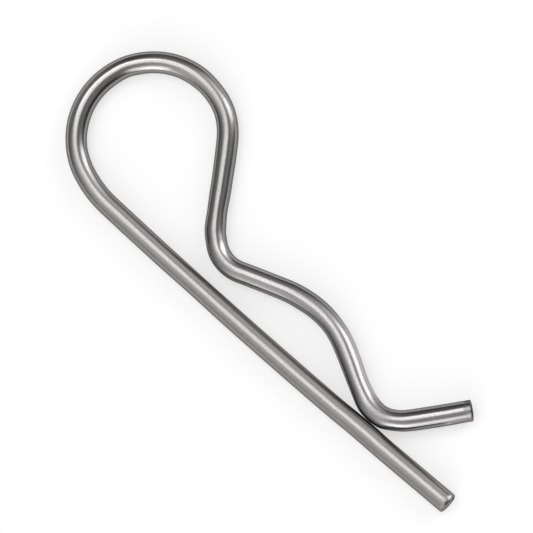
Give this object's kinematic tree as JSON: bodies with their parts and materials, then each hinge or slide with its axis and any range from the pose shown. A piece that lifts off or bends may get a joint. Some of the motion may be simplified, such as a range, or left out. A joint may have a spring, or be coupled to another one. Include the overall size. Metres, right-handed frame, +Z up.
{
  "type": "cotter pin",
  "caption": "Hairpin cotter pin bent from round stainless spring wire: straight leg, round loop, humped leg that grips a shaft, and a flared tip.",
  "frame": {"origin": "on the surface the clip lies on, under the middle of its bounding box", "axes": "+X along the straight leg towards its free end, +Y from the leg towards the loop's far side, +Z up, across the plane of the clip"},
  "size_m": [0.0758, 0.0254, 0.003],
  "materials": {
    "spring_wire": "drawn, satin to bright, with fine lengthwise grain"
  },
  "bodies": {
    "root": {"hairpin": "spring_wire"}
  },
  "joints": []
}
